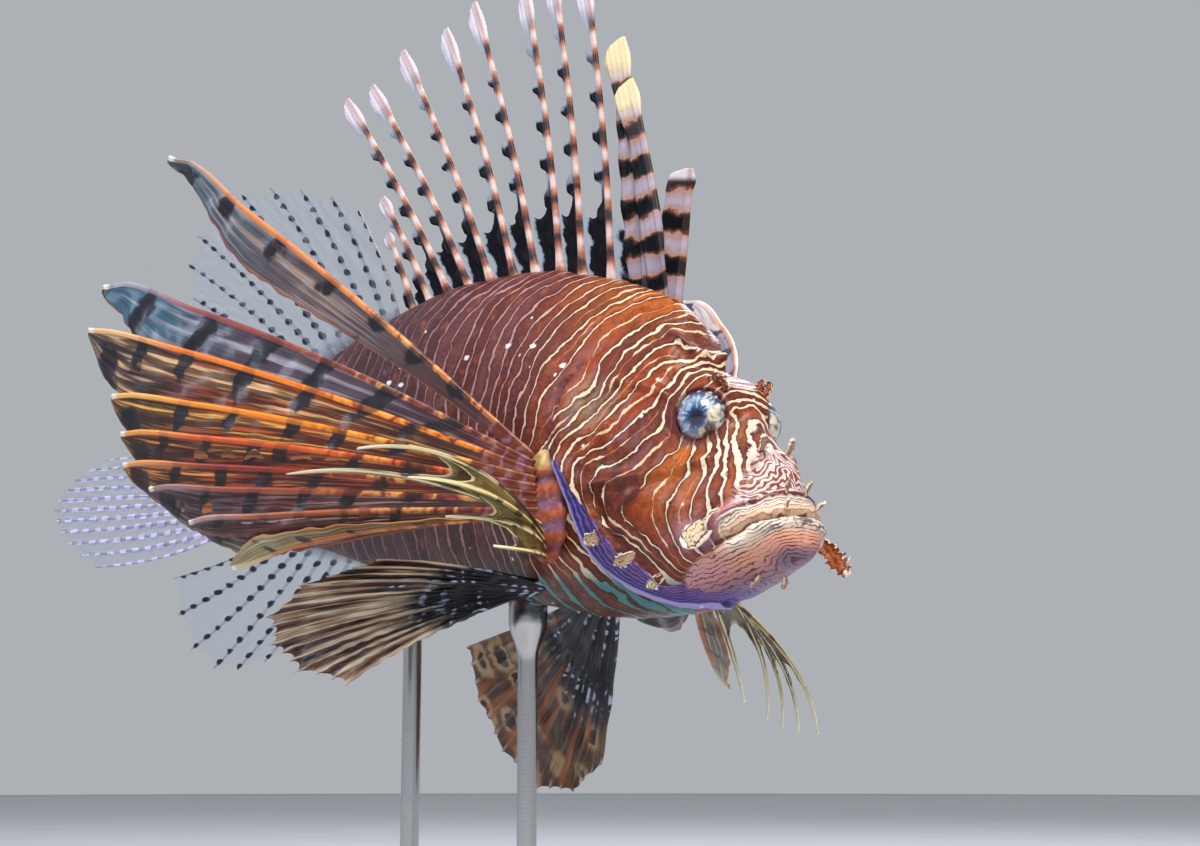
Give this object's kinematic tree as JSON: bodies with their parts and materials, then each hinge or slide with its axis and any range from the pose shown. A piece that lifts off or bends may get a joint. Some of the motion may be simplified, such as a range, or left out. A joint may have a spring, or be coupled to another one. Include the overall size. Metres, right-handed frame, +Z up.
{
  "type": "red lionfish model on a display stand",
  "caption": "Life-size still model of a red lionfish with spread fan fins and raised banded back spines, held nose down on a flat stand with rods.",
  "frame": {"origin": "centre of the stand's underside, below the fish's balance point", "axes": "+Z up, +X towards the fish's head, +Y towards its left side"},
  "size_m": [0.2953, 0.1788, 0.2653],
  "materials": {
    "skin": "wet satin skin, red-brown with narrow cream lines",
    "spine": "satin, banded rust and cream with dark blotches",
    "fan_fin": "satin, orange-brown vanes with dark and pale bands",
    "dark_fin": "satin, dark brown web with pale rays",
    "clear_fin": "thin clear web with black dots",
    "eye": "polished, blue with a dark pupil",
    "flap": "satin, cream and brown",
    "stand_plate": "fine satin paint, light grey",
    "stand_rod": "turned stainless steel"
  },
  "bodies": {
    "root": {"head": "skin", "lower_jaw": "skin", "torso": "skin", "tail_stalk": "skin", "dorsal_fin_spiny": "spine", "dorsal_fin_soft": "clear_fin", "anal_fin": "clear_fin", "caudal_fin": "clear_fin", "pectoral_fin_right": "fan_fin", "pectoral_fin_left": "fan_fin", "pelvic_fin_right": "dark_fin", "pelvic_fin_left": "dark_fin", "eye_right": "eye", "eye_left": "eye", "brow_tentacle_right": "flap", "brow_tentacle_left": "flap", "snout_flap_right": "flap", "snout_flap_left": "flap", "stand_base": "stand_plate", "stand_rod_front": "stand_rod", "stand_rod_rear": "stand_rod"}
  },
  "joints": []
}
